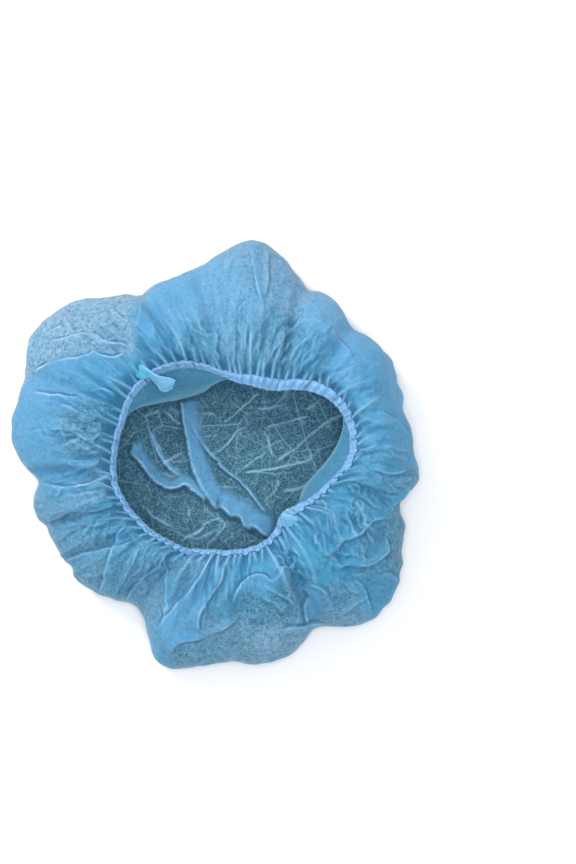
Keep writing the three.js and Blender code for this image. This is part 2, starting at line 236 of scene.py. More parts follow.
# Small folds strewn over the wall: the frame's x, y, radius, how many, their direction in degrees
# (0 to the right, 90 down, None for away from the mouth), its spread, their length in pixels and
# their height in millimetres
CRINKLES = [
    (255, 352, 30, 34, None, 9, 22, 1.9),
    (300, 346, 26, 26, None, 12, 24, 1.8),
    (196, 344, 22, 18, None, 12, 20, 1.7),
    (150, 345, 18, 12, None, 14, 20, 1.2),
    (330, 372, 18, 12, None, 12, 20, 1.4),
    (80, 330, 36, 26, 15, 30, 26, 1.6),
    (85, 362, 34, 16, 88, 14, 12, 1.3),
    (55, 424, 30, 14, 10, 25, 24, 1.0),
    (90, 428, 20, 34, 20, 35, 13, 2.8),
    (82, 462, 22, 18, 5, 25, 18, 1.5),
    (74, 496, 30, 22, -15, 14, 30, 1.5),
    (98, 548, 34, 26, -42, 16, 30, 1.6),
    (140, 560, 26, 20, -62, 14, 26, 1.6),
    (185, 580, 32, 26, -68, 20, 26, 1.5),
    (232, 572, 24, 20, None, 16, 18, 1.6),
    (215, 630, 30, 14, -20, 30, 22, 1.0),
    (270, 630, 34, 18, -30, 50, 20, 1.2),
    (296, 562, 20, 30, None, 28, 13, 2.5),
    (340, 528, 32, 50, 78, 14, 16, 2.6),
    (372, 500, 26, 28, 58, 16, 17, 2.3),
    (340, 572, 28, 30, 48, 34, 16, 2.2),
    (378, 570, 22, 18, 30, 50, 14, 1.4),
    (376, 470, 28, 28, 12, 16, 22, 1.6),
    (384, 428, 26, 12, 10, 14, 26, 1.1),
    (255, 280, 36, 16, 85, 18, 28, 0.9),
    (330, 316, 24, 10, 50, 30, 20, 0.9),
]

# The folded edge round the mouth: at, its width as a share of HEM_WIDTH
HEM_SPREAD = [
    (5, 0.75),
    (30, 1.0),
    (48, 1.6),
    (66, 1.7),
    (82, 1.25),
    (98, 0.75),
    (120, 0.6),
    (138, 0.65),
    (155, 0.7),
    (180, 0.6),
    (215, 0.65),
    (260, 0.65),
    (298, 0.8),
    (316, 1.4),
    (332, 0.9),
    (350, 0.7),
]

# The smooth cloth that hangs below the folded edge: at, its width as a share of FLAP_WIDTH
FLAPS = [
    (5, 0.7),
    (14, 0.32),
    (22, 0.0),
    (96, 0.0),
    (105, 0.36),
    (113, 0.8),
    (122, 1.0),
    (132, 0.98),
    (141, 0.7),
    (149, 0.3),
    (155, 0.0),
    (326, 0.0),
    (337, 0.42),
    (348, 0.68),
    (357, 0.8),
]

# Where the cloth is tinted teal near the welds: the frame's x, y and radius
TINTS = [
    (141, 372, 7),
    (309, 549, 9),
    (322, 574, 6),
]

# How the cloth looks: the frame's x, y, radius, how many layers lie there (dense, 0 to 1) and how
# much light comes through (pale, 0 to 1)
TONES = [
    (60, 322, 34, 0.05, 0.9),
    (100, 300, 30, 0.1, 0.85),
    (36, 350, 22, 0.1, 0.75),
    (112, 330, 18, 0.2, 0.8),
    (75, 378, 18, 0.95, 0.5),
    (40, 388, 16, 0.9, 0.7),
    (112, 374, 14, 1.0, 0.3),
    (36, 430, 28, 0.85, 0.55),
    (66, 400, 14, 0.8, 0.75),
    (80, 426, 19, 0.05, 0.0),
    (84, 452, 12, 0.45, 0.3),
    (52, 462, 20, 0.85, 0.4),
    (64, 486, 12, 0.7, 0.2),
    (58, 506, 16, 0.3, 0.35),
    (84, 500, 12, 0.45, 0.5),
    (78, 536, 18, 0.3, 0.25),
    (104, 520, 14, 0.5, 0.1),
    (88, 572, 20, 0.18, 0.25),
    (126, 572, 12, 0.2, 0.1),
    (150, 592, 14, 0.35, 0.4),
    (156, 556, 12, 0.5, 0.3),
    (178, 572, 11, 0.3, 0.15),
    (180, 618, 16, 0.8, 0.6),
    (205, 578, 12, 0.75, 0.5),
    (160, 646, 12, 0.6, 0.3),
    (226, 600, 12, 0.7, 0.3),
    (196, 650, 18, 0.1, 0.25),
    (240, 642, 20, 0.1, 0.45),
    (264, 632, 12, 0.2, 0.9),
    (292, 644, 18, 0.15, 0.5),
    (262, 602, 13, 0.0, 0.0),
    (258, 576, 10, 0.9, 0.3),
    (316, 606, 12, 0.5, 0.3),
    (342, 592, 13, 0.3, 0.2),
    (346, 616, 14, 0.25, 0.5),
    (384, 592, 15, 0.7, 0.15),
    (396, 562, 12, 0.1, 0.15),
    (402, 524, 13, 0.15, 0.2),
    (340, 526, 20, 0.8, 0.1),
    (372, 506, 14, 0.7, 0.15),
    (330, 560, 14, 0.8, 0.0),
    (366, 548, 14, 0.5, 0.15),
    (384, 400, 30, 1.0, 0.6),
    (404, 444, 18, 0.85, 0.35),
    (376, 470, 16, 0.7, 0.2),
    (408, 484, 14, 0.35, 0.2),
    (338, 318, 22, 0.9, 1.0),
    (364, 356, 22, 1.0, 0.75),
    (256, 250, 20, 0.35, 0.7),
    (222, 284, 22, 0.75, 0.85),
    (292, 284, 20, 0.5, 0.85),
    (176, 296, 22, 0.9, 0.8),
    (240, 326, 18, 0.6, 0.6),
    (280, 340, 18, 0.4, 0.3),
    (202, 346, 14, 0.5, 0.2),
    (152, 330, 16, 1.0, 0.5),
    (316, 352, 16, 0.8, 0.4),
]

# The welds' tabs. Rows run from the cloth into the mouth: the frame's x, y of the upper and of the
# lower corner of each row, its height in millimetres, and how far its upper edge curls up
WELD_TABS = {
    "left": [
        (136.5, 370, 136.5, 375, 52.5, 0.0),
        (139, 366.5, 139, 378, 53.2, 0.3),
        (143, 365, 143, 380, 53.6, 0.5),
        (147.5, 367.5, 147, 379.5, 53.5, 0.6),
        (151, 370, 151, 378, 53.0, 0.8),
        (156, 374, 155, 382, 52.0, 1.4),
        (161, 376.5, 159, 387, 51.0, 2.0),
        (167, 377.5, 162, 392, 50.0, 2.4),
        (173, 378.5, 168, 393, 49.0, 2.4),
        (177, 381, 174, 389, 48.5, 1.2),
    ],
    "right": [
        (300, 521, 296, 528, 53.0, 0.2),
        (297, 516, 292, 527, 54.0, 0.4),
        (292, 512.5, 287, 525.5, 54.5, 0.5),
        (286, 511.5, 283.5, 524, 54.5, 0.6),
        (281, 511.5, 281, 523, 54.0, 0.6),
    ],
}

# How far along each tab the fibre is melted into the cloth
MELTED_UNTIL = {"left": 0.35, "right": -0.1}

# The cloth's colours, as shares of red, green and blue light
CLOTH_COLOURS = {
    "thin": (0.032, 0.182, 0.275),
    "pale": (0.25, 0.43, 0.58),
    "dense": (0.03, 0.28, 0.5),
    "dense_pale": (0.112, 0.368, 0.635),
    # inside is painted shade: the crown's cloth inside the cup is painted much darker than the same cloth
    # outside
    "inside": (0.032, 0.134, 0.2),
    "gap": (0.01, 0.062, 0.105),
    # light, pale_light and inside_light colour the fibres, and also paint highlights along fold edges,
    # gather crests, creases and rolled edges
    "light": (0.25, 0.54, 0.8),
    "pale_light": (0.6, 0.79, 0.94),
    "inside_light": (0.3, 0.55, 0.7),
    # painted shade for the valleys of the fine pleats and the shadows beside folds and between gathers
    "painted_shade": (0.01, 0.125, 0.25),
    "weld": (0.03, 0.42, 0.5),
}
HEM_COLOURS = {
    **CLOTH_COLOURS,
    "dense": (0.1, 0.38, 0.66),
    "dense_pale": (0.24, 0.53, 0.86),
    "inside": (0.055, 0.25, 0.41),
    "light": (0.42, 0.68, 0.92),
    "pale_light": (0.46, 0.7, 0.92),
    "inside_light": (0.3, 0.56, 0.72),
}

# Patterns of the cloth, as noise with a soft threshold: scale, detail, roughness, and the noise
# where the pattern starts and where it is full
PATTERNS = {
    "gaps": (330.0, 3.0, 0.6, 0.42, 0.68),
    "clouds": (42.0, 4.0, 0.65, 0.3, 0.7),
    "murk": (26.0, 3.0, 0.6, 0.45, 0.75),
}

# How strongly each pattern or mark tints the cloth, from 0 to 1. The furrow and foot marks are painted
# shade; the comb and edge marks are painted highlights.
STRENGTH = {
    "clouds": 0.28,
    "murk": 0.6,
    "gaps": 0.6,
    "fibres": 0.5,
    "pleat_shade": 0.6,
    "pleat_highlight": 0.22,
    "painted_shadow": 0.8,
    "edge": 0.75,
}

# The share of the light that passes through the cloth, and how far thin cloth shows what lies behind
THROUGH_LIGHT = 0.22
SEE_THROUGH = 0.07

# The studio's soft lights: name, place, size in metres and power in watts
LIGHTS = [
    ("key", (-1.0, 1.0, 1.1), 0.6, 19.0),
    ("fill", (0.1, -0.4, 1.9), 1.0, 19.0),
]

# Layers of noise: the size of its cells, how far it moves a point, and its seed. The first two are in
# millimetres of the cap, and for the folds' sway and the tones in pixels of the frame.
WALL_SWELL = [(40.0, 2.4, 11), (18.0, 1.4, 12), (8.0, 0.65, 14)]
TUCKS = [(13.0, 1.8, 51), (6.0, 1.0, 52)]
FOLD_SWAY = [(9.0, 0.9, 21), (4.0, 0.5, 22)]
TONE_SWAY_X = [(15.0, 5.0, 41), (6.0, 2.0, 42)]
TONE_SWAY_Y = [(15.0, 5.0, 43), (6.0, 2.0, 44)]

# The gathers round the mouth: how many, and their lengths in millimetres. A row holds where chance is
# at least its first value, and gives the shortest length and its spread.
GATHER_COUNT = 84
GATHER_LENGTHS = [
    (0.0, 9.0, 7.0),
    (0.62, 16.0, 12.0),
    (0.87, 30.0, 34.0),
]

# How a laid fold is drawn, in pixels of the frame: the stretch over which each end dies out (at most
# a share of the fold), how far its marks reach past its path, and where its painted highlight along the
# edge and its painted shadow at the foot lie beside that path
FOLD_END = 8.0
FOLD_END_SHARE = 0.3
FOLD_MARGIN = 6
EDGE_AT = 0.5
SHADOW_AT = -2.2
SHADOW_WIDTH = 1.7

# The mesh: points round each ring, and rings in each stretch. The floor has half the points.
ROUND = 720
HEM_ROWS = 7
FLAP_ROWS = 10
WALL_ROWS = 100
FLOOR_ROWS = 70
WELD_GRID = (40, 16)

# The floor's first rings are wide apart, as far as the share of its reach that shows in the mouth.
# The rest runs to a last small ring. FLOOR_ALONG stands for its way from the seam, in millimetres.
FLOOR_OUTER_ROWS = 8
FLOOR_IN_VIEW = 0.7
FLOOR_MIDDLE = 0.012
FLOOR_ALONG = 200.0

# The folded edge, in millimetres: how far it stands off the cloth, its thickness, the height of its
# roll and how far it drops inwards. HEM_REACH is the share of its width that lies flat.
HEM_LIFT = 0.25
EDGE_THICKNESS = 0.9
HEM_ARCH = 1.7
HEM_DROP = 3.4
HEM_REACH = 0.92

# The points on each side over which the seam's ruffles are averaged below the edge, and how evenly
CALM_REACH = 24
CALM_WIDTH = 9.0

# What each point says about its look, from 0 to 1, and its way from the seam in millimetres. Edge
# marks painted highlights and foot painted shadow and shade. Inside marks the flaps and the crown's
# inside, where the crown's cloth is painted darker as shade.
LOOKS = ("dense", "pale", "inside", "edge", "painted_shadow", "along")

# Large odd numbers that mix a cell's place and a seed into chance
MIX_PLACE = (73856093, 19349663, 83492791)
MIX_SEED = 2654435
MIX_AGAIN = 1274126177

rng = np.random.default_rng(SEED)


def hermite(start, end, start_slope, end_slope, span, t):
    """The smooth curve from start to end with the given slopes, at the share t of the span."""
    return (
        (2 * t**3 - 3 * t**2 + 1) * start
        + (t**3 - 2 * t**2 + t) * span * start_slope
        + (3 * t**2 - 2 * t**3) * end
        + (t**3 - t**2) * span * end_slope
    )


def eased(share):
    """A share from 0 to 1 with a soft start and a soft end."""
    return share * share * (3 - 2 * share)


def round_table(column, degrees):
    """Smooth value of one column of SECTIONS round the turn."""
    at, value = (np.array([row[k] for row in SECTIONS], float) for k in (0, column))
    at = np.concatenate([at[-2:] - 360, at, at[:3] + 360])
    value = np.concatenate([value[-2:], value, value[:3]])
    slope = np.zeros_like(value)
    slope[1:-1] = (value[2:] - value[:-2]) / (at[2:] - at[:-2])
    angle = np.mod(degrees, 360.0)
    low = np.clip(np.searchsorted(at, angle, side="right") - 1, 1, len(at) - 3)
    span = at[low + 1] - at[low]
    share = (angle - at[low]) / span
    return hermite(value[low], value[low + 1], slope[low], slope[low + 1], span, share)


def wall_curve(t):
    """out, up and pleat at t, the run along the wall from the seam (0) to the floor (1)."""
    rows = np.array(WALL, float)
    width = CROWN_RADIUS - MOUTH_RADIUS
    steps = np.hypot(np.diff(rows[:, 0]) * width, np.diff(rows[:, 1]) * CREST_HEIGHT)
    run = np.concatenate([[0], np.cumsum(steps)])
    run /= run[-1]
    slope = np.gradient(rows, run, axis=0)
    low = np.clip(np.searchsorted(run, t, side="right") - 1, 0, len(run) - 2)
    span = (run[low + 1] - run[low])[:, None]
    share = ((t - run[low]) / span[:, 0])[:, None]
    return hermite(rows[low], rows[low + 1], slope[low], slope[low + 1], span, share).T


def bump(away):
    """1 at 0 and 0 from 1 on, smooth."""
    return np.where(np.abs(away) < 1, 0.5 + 0.5 * np.cos(np.pi * np.clip(away, -1, 1)), 0.0)


def turned(degrees):
    """The shortest way round, from -180 to 180 degrees."""
    return np.mod(degrees + 180.0, 360.0) - 180.0


def lattice_noise(points, size, seed):
    """Smooth noise from -1 to 1 in space, with cells of the given size."""
    scaled = points / size
    cell = np.floor(scaled).astype(np.int64)
    local = eased(scaled - cell)

    def corner(offset):
        spread = (cell + offset) * MIX_PLACE
        mixed = spread[:, 0] ^ spread[:, 1] ^ spread[:, 2] ^ seed * MIX_SEED
        mixed = (mixed ^ (mixed >> 13)) * MIX_AGAIN & 0x7FFFFFFF
        return (mixed % 65536) / 32768.0 - 1.0

    total = 0.0
    for offset in np.ndindex(2, 2, 2):
        near = np.where(offset, local, 1 - local)
        total = total + near[:, 0] * near[:, 1] * near[:, 2] * corner(offset)
    return total


def layered_noise(points, layers):
    """Layers of noise over each other, each with cells of its own size."""
    return sum(high * lattice_noise(points, size, seed) for size, high, seed in layers)


def on_frame(px, py):
    """Pixels of the frame as points of a plane, to lay noise over them."""
    return np.stack([px, py, np.zeros(len(px))], axis=1)


def spot(px, py, x, y, radius):
    """How near each pixel is to a round spot: 1 at its middle, soft to 0 outside it."""
    return np.exp(-(((px - x) ** 2 + (py - y) ** 2) / radius**2))


def smooth_wall(angles, t):
    """The wall's middle surface as rows and angles, before its folds, and each row's pleat."""
    out, up, pleat = wall_curve(t)
    mouth = MOUTH_RADIUS * round_table(1, angles)
    reach = CROWN_RADIUS * round_table(2, angles)
    crest = CREST_HEIGHT * round_table(3, angles)
    rad = np.radians(angles)
    radius = mouth[None, :] + (reach - mouth)[None, :] * out[:, None]
    centre = MOUTH_CENTRE[None, :] * (1 - out)[:, None]
    x = centre[:, 0:1] + radius * np.cos(rad)
    y = centre[:, 1:2] + radius * np.sin(rad)
    z = up[:, None] * crest[None, :]
    return np.stack([x, y, z], axis=2), pleat


def grid_normals(grid):
    """Outward unit normals of a grid whose second index runs round."""
    along = np.gradient(grid, axis=0)
    across = np.roll(grid, -1, axis=1) - np.roll(grid, 1, axis=1)
    normal = np.cross(along, across)
    return normal / np.maximum(np.linalg.norm(normal, axis=2, keepdims=True), 1e-9)


def to_frame(points):
    """The frame's pixel of each point of the cap, in millimetres, seen from above."""
    placed = points + ORIGIN_SHIFT
    rise = (placed[:, 2] - FRAME_HEIGHT) * math.cos(ELEVATION)
    px = FRAME_CAP[0] + placed[:, 0] / FRAME_STEP
    py = FRAME_CAP[1] - (placed[:, 1] * math.sin(ELEVATION) + rise) / FRAME_STEP
    return px, py


def from_frame(px, py, height):
    """The cap's point, in millimetres, that shows at a pixel of the frame at the given height."""
    rise = (height - FRAME_HEIGHT) * math.cos(ELEVATION)
    x = (px - FRAME_CAP[0]) * FRAME_STEP
    y = ((FRAME_CAP[1] - py) * FRAME_STEP - rise) / math.sin(ELEVATION)
    return np.array([x, y, height]) - ORIGIN_SHIFT


def path_distance(px, py, path):
    """Signed distance to a path, above 0 to its right, and the share of its length."""
    nearest = np.full(len(px), 1e9)
    signed = np.zeros(len(px))
    share = np.zeros(len(px))
    lengths = [math.dist(a, b) for a, b in zip(path[:-1], path[1:])]
    total = sum(lengths)
    done = 0.0
    for (x0, y0), (x1, y1), length in zip(path[:-1], path[1:], lengths):
        dx, dy = (x1 - x0) / length, (y1 - y0) / length
        run = np.clip((px - x0) * dx + (py - y0) * dy, 0, length)
        away = np.hypot(px - x0 - run * dx, py - y0 - run * dy)
        side = np.where((py - y0) * dx - (px - x0) * dy >= 0, 1.0, -1.0)
        closer = away < nearest
        nearest = np.where(closer, away, nearest)
        signed = np.where(closer, away * side, signed)
        share = np.where(closer, (done + run) / total, share)
        done += length
    return signed, share, total


def rounded_path(path):
    """The path with its corners cut twice, so that it bends as cloth does."""
    points = [np.array(point, float) for point in path]
    for _ in range(2):
        cut = [points[0]]
        for start, end in zip(points[:-1], points[1:]):
            cut += [0.75 * start + 0.25 * end, 0.25 * start + 0.75 * end]
        points = [*cut, points[-1]]
    return [tuple(point) for point in points]


def small_folds():
    """The folds that CRINKLES asks for, each bent a little."""
    folds = []
    for x, y, radius, count, direction, spread, length, high in CRINKLES:
        for _ in range(count):
            way = rng.uniform(0, 2 * math.pi)
            far = radius * math.sqrt(rng.random())
            middle = np.array([x + far * math.cos(way), y + far * math.sin(way)])
            base = math.atan2(middle[1] - MOUTH_VIEW[1], middle[0] - MOUTH_VIEW[0])
            if direction is not None:
                base = math.radians(direction)
            turn = base + math.radians(spread) * rng.normal()
            ahead = np.array([math.cos(turn), math.sin(turn)])
            aside = np.array([-ahead[1], ahead[0]])
            size = length * rng.uniform(0.6, 1.5)
            bend = size * 0.16 * rng.normal()
            path = [
                tuple(middle + ahead * size * run + aside * bend * out)
                for run, out in ((-0.5, 0), (-0.2, 0.8), (0.15, rng.uniform(-0.2, 1)), (0.5, 0))
            ]
            soft = rng.uniform(3.0, 7.0) * rng.choice((-1, 1))
            folds.append((path, high * rng.uniform(0.5, 1.3), soft))
    return folds


def lay_folds(px, py, folds, steep=1.6, line=1.1):
    """Height, painted highlight along the edge, painted shadow beside the steep side and doubled cloth
    of folds that lie over a surface.
    """
    fields = {key: np.zeros(len(px)) for key in ("height", "edge", "painted_shadow", "double")}
    sway = layered_noise(on_frame(px, py), FOLD_SWAY)
    broken = lattice_noise(on_frame(px, py), 11.0, 23)
    for path, high, soft in folds:
        path = rounded_path(path)
        width = abs(soft)
        corners = np.array(path)
        low = corners.min(axis=0) - (width + FOLD_MARGIN)
        top = corners.max(axis=0) + (width + FOLD_MARGIN)
        near = np.flatnonzero((px > low[0]) & (px < top[0]) & (py > low[1]) & (py < top[1]))
        if not len(near):
            continue
        signed, share, total = path_distance(px[near], py[near], path)
        signed = (signed + sway[near]) * math.copysign(1, soft)
        fade = min(FOLD_END, total * FOLD_END_SHARE)
        ends = eased(np.clip(np.minimum(share, 1 - share) * total / fade, 0, 1))
        back = np.clip(1 - signed / width, 0, 1) ** 1.4
        front = eased(np.clip(1 + signed / steep, 0, 1))
        doubled = eased(np.clip((1 - signed / width) / 0.55, 0, 1))
        strength = min(1.0, 0.2 + high / 4.0) * (0.7 + 0.3 * broken[near])
        drawn = {
            "height": high * (np.where(signed > 0, back, front) * ends),
            # a painted highlight along the fold's edge and a painted shadow beside its steep side
            "edge": strength * ends * np.exp(-(((signed - EDGE_AT) / line) ** 2)),
            "painted_shadow": strength * ends * np.exp(-(((signed - SHADOW_AT) / SHADOW_WIDTH) ** 2)),
            "double": ends * np.where(signed > 0, doubled, 0.0) * min(1.0, high / 3.0),
        }
        for key, values in drawn.items():
            fields[key][near] = np.maximum(fields[key][near], values)
    return fields


def make_gathers():
    """The gathers round the mouth: where each starts, how far it runs and how it wanders."""
    count = GATHER_COUNT
    pitch = 360.0 / count
    chance = rng.random(count)
    length = np.zeros(count)
    for least_chance, shortest, spread in GATHER_LENGTHS:
        length = np.where(chance >= least_chance, shortest + spread * rng.random(count), length)
    return {
        "at": (np.arange(count) + rng.uniform(-0.3, 0.3, count)) * pitch,
        "length": length,
        "high": 1.9 + 1.7 * rng.random(count),
        "drift": rng.uniform(-0.14, 0.14, count),
        "curl": rng.uniform(-0.003, 0.003, count),
        "wide": rng.uniform(0.75, 1.2, count),
    }


def gather_relief(angles, reach_mm, radius, gathers):
    """Height of the gathers over the wall and how near a ridge is, where the crests get a painted
    highlight. reach_mm is the way from the seam.
    """
    height = np.zeros((len(reach_mm), len(angles)))
    ridge = np.zeros_like(height)
    mm_per_degree = np.radians(1.0) * radius
    pitch_mm = 2 * math.pi * MOUTH_RADIUS / GATHER_COUNT
    for at, length, high, drift, curl, wide in zip(*gathers.values()):
        path = at + drift * reach_mm + curl * reach_mm**2
        away = np.abs(turned(angles[None, :] - path[:, None])) * mm_per_degree
        half = pitch_mm * 0.52 * wide * (1 + reach_mm / 26.0)[:, None]
        left = np.clip(1 - reach_mm / length, 0, 1)
        tall = high * left**0.7 * (1 + 0.4 * np.clip(reach_mm / 20.0, 0, 1.5))
        shape = np.clip(1 - away / half, 0, 1)
        height += tall[:, None] * shape**1.5
        crest = np.exp(-((away / (1.15 + 0.015 * reach_mm[:, None])) ** 2))
        ridge = np.maximum(ridge, crest * (left**0.5)[:, None])
    return height, ridge


def softened(field):
    """A field over rows and angles with its steps smoothed away."""
    field = 0.5 * field + 0.25 * (np.roll(field, 1, axis=1) + np.roll(field, -1, axis=1))
    up = np.concatenate([field[:1], field[:-1]])
    down = np.concatenate([field[1:], field[-1:]])
    return 0.5 * field + 0.25 * (up + down)


def round_share(rows, angles):
    """The share in the second column of a table, drawn smoothly round the turn."""
    at, share = np.array(rows, float).T
    line = np.interp(angles, at, share, period=360.0)
    reach = round(5.0 * len(angles) / 360.0)
    spread = np.hanning(2 * reach + 3)[1:-1]
    wrapped = np.concatenate([line[-reach:], line, line[:reach]])
    return np.convolve(wrapped, spread / spread.sum(), mode="valid")


def calm_ring(ring):
    """A ring of points with its ruffles averaged away."""
    spread = np.exp(-0.5 * (np.arange(-CALM_REACH, CALM_REACH + 1) / CALM_WIDTH) ** 2)
    spread /= spread.sum()
    wrapped = np.concatenate([ring[-CALM_REACH:], ring, ring[:CALM_REACH]])
    return np.stack([np.convolve(line, spread, mode="valid") for line in wrapped.T], axis=1)


def hem_rows(seam, calm_seam, inward, wave, spread_mm):
    """Rows of the rolled, ruffled edge, from the seam into the mouth."""
    rows = []
    for share in np.arange(1, HEM_ROWS + 1) / HEM_ROWS:
        arch = math.sin(math.pi * min(1.0, 0.12 + 0.95 * share))
        far = spread_mm * HEM_REACH * share + 0.12 * wave * share
        point = seam * (1 - 0.8 * share) + calm_seam * 0.8 * share
        point[:, :2] += inward * (far + 0.25 * wave * arch)[:, None]
        point[:, 2] += HEM_ARCH * arch - HEM_DROP * share**1.5 + 0.35 * wave * (1 - 0.7 * share)
        rows.append(point)
    return rows


def flap_rows(start, calm, inward, angles):
    """Rows of the smooth flaps inside the mouth, from the edge's last row down to their free edge."""
    widening = round_share(FLAPS, angles)
    rows = []
    for share in np.arange(1, FLAP_ROWS + 1) / FLAP_ROWS:
        slope = math.radians(30 + 10 * share)
        far = (0.8 + FLAP_WIDTH * widening) * share
        steady = np.clip(far / 5.0, 0, 1)[:, None]
        point = start * (1 - steady) + calm * steady
        sway = 0.7 * np.sin(angles * 0.33 + 1.2 * share) * share * widening
        point[:, :2] += inward * (far * math.cos(slope))[:, None]
        point[:, 2] += -far * math.sin(slope) + sway
        rows.append(point)
    return rows


def hem_and_flaps(seam, inward, wave, angles):
    """The rows of the folded edge and those of its flaps, each from its inner row outwards."""
    spread_mm = HEM_WIDTH * round_share(HEM_SPREAD, angles)
    calm_seam = calm_ring(seam)
    hem = hem_rows(seam, calm_seam, inward, wave, spread_mm)
    calm = calm_seam + (hem[-1] - calm_seam).mean(axis=0) * np.array([0, 0, 1])
    calm[:, :2] += inward * (spread_mm * HEM_REACH)[:, None]
    flaps = flap_rows(hem[-1], calm, inward, angles)
    return np.array(hem[::-1]), np.array(flaps[::-1])


def tone_at(px, py):
    """How many layers of cloth lie at each pixel of the frame, and how much light comes through."""
    dense_sum = np.zeros(len(px))
    pale_sum = np.zeros(len(px))
    total = np.full(len(px), 1e-6)
    flat = on_frame(px, py)
    px = px + layered_noise(flat, TONE_SWAY_X)
    py = py + layered_noise(flat, TONE_SWAY_Y)
    for x, y, radius, dense, pale in TONES:
        weight = spot(px, py, x, y, radius) ** 1.3
        dense_sum += weight * dense
        pale_sum += weight * pale
        total += weight
    return dense_sum / total, pale_sum / total


def weld_tint(points):
    """How strongly the teal tint near the welds shows at each point."""
    px, py = to_frame(points)
    tint = np.zeros(len(points))
    for x, y, radius in TINTS:
        tint = np.maximum(tint, spot(px, py, x, y, radius) * (points[:, 2] > 30))
    return tint


def wall_swell(points, reach_mm):
    """Soft swells and creases of the slack cloth, calm at the seam."""
    creased = 1 - np.abs(lattice_noise(points, 24.0, 13))
    swell = (layered_noise(points, WALL_SWELL) + 1.3 * creased**6).reshape(len(reach_mm), -1)
    return swell * np.clip(reach_mm / 22.0, 0, 1)[:, None]


def brim_and_tucks(angles, reach_mm, normal):
    """How far each point lies over the brim, and the small tucks that run down from there."""
    shape = normal.shape[:2]
    turn = np.radians(angles)[None, :] + np.zeros(shape)
    run_down = 0.3 * reach_mm[:, None] + np.zeros(shape)
    spun = np.stack([100 * np.cos(turn), 100 * np.sin(turn), run_down], axis=2).reshape(-1, 3)
    brim = np.clip((0.5 - normal[:, :, 2]) / 0.5, 0, 1) * np.clip(reach_mm / 30.0 - 1, 0, 1)[:, None]
    return brim, layered_noise(spun, TUCKS).reshape(shape) * brim


def wall_folds(px, py, facing_up):
    """The folds that WALL_FOLDS draws and the small ones strewn between them."""
    laid = lay_folds(px, py, WALL_FOLDS)
    small = lay_folds(px, py, small_folds())
    both = {key: np.maximum(laid[key], 0.9 * small[key]) for key in laid}
    both["height"] = laid["height"] + small["height"]
    both["double"] = np.maximum(laid["double"], 0.4 * small["double"])
    return {key: field.reshape(facing_up.shape) * facing_up for key, field in both.items()}


def build_wall(angles):
    """The wall with its valleys, gathers and laid folds, and how it looks at each point."""
    run = np.linspace(0, 1, WALL_ROWS)
    t = 0.7 * run + 0.3 * run**3
    wall, pleat = smooth_wall(angles, t)
    wall[:, :, :2] += LEAN * np.clip(np.arange(WALL_ROWS) / (0.6 * WALL_ROWS), 0, 1)[:, None, None]
    normal = grid_normals(wall)
    step = np.linalg.norm(np.diff(wall, axis=0), axis=2).mean(axis=1)
    reach_mm = np.concatenate([[0], np.cumsum(step)])
    radius = np.hypot(wall[:, :, 0] - MOUTH_CENTRE[0], wall[:, :, 1] - MOUTH_CENTRE[1])
    shape = wall.shape[:2]
    points = wall.reshape(-1, 3)

    gathers, ridge = gather_relief(angles, reach_mm, radius, make_gathers())
    gathers -= gathers.mean(axis=1, keepdims=True)
    valleys = sum(depth * bump(turned(angles - at) / half) for at, depth, half in PLEATS)
    brim, tucks = brim_and_tucks(angles, reach_mm, normal)
    px, py = to_frame(points)
    folds = wall_folds(px, py, np.clip(normal[:, :, 2] * 4 + 0.2, 0, 1))
    offset = gathers + (wall_swell(points, reach_mm) + tucks) + folds["height"]
    offset = offset - PLEAT_DEPTH * pleat[:, None] * valleys[None, :]
    calm_end = np.clip((t[-1] - t) / 0.12, 0, 1)[:, None]
    wall = wall + normal * (softened(offset) * calm_end)[:, :, None]

    dense, pale = (tone.reshape(shape) for tone in tone_at(px, py))
    near_seam = np.exp(-((reach_mm / 13.0) ** 4))[:, None]
    # painted shade in the valleys between gathers near the seam
    valley_shade = near_seam * np.clip(1 - 1.5 * ridge, 0, 1)
    return {
        "points": wall,
        "gathers": gathers,
        "dense": np.clip(np.maximum(dense, 0.8 * near_seam) + 0.45 * folds["double"], 0, 1),
        # the brim is painted paler, painted light on the steep outer wall that lies in shade
        "pale": np.clip(pale + 0.2 * folds["double"] + 0.35 * brim, 0, 1),
        # where the wall turns under to the floor, painted darker as shade like the floor
        "inside": np.clip((t[:, None] - 0.95) / 0.05, 0, 1),
        # painted highlights along fold edges, gather crests and the brim
        "edge": np.maximum.reduce([folds["edge"], 0.8 * ridge, 0.42 * brim]),
        # painted shadow beside the folds and painted shade between gathers
        "painted_shadow": np.maximum(folds["painted_shadow"], 0.72 * valley_shade),
        "along": reach_mm[:, None],
    }


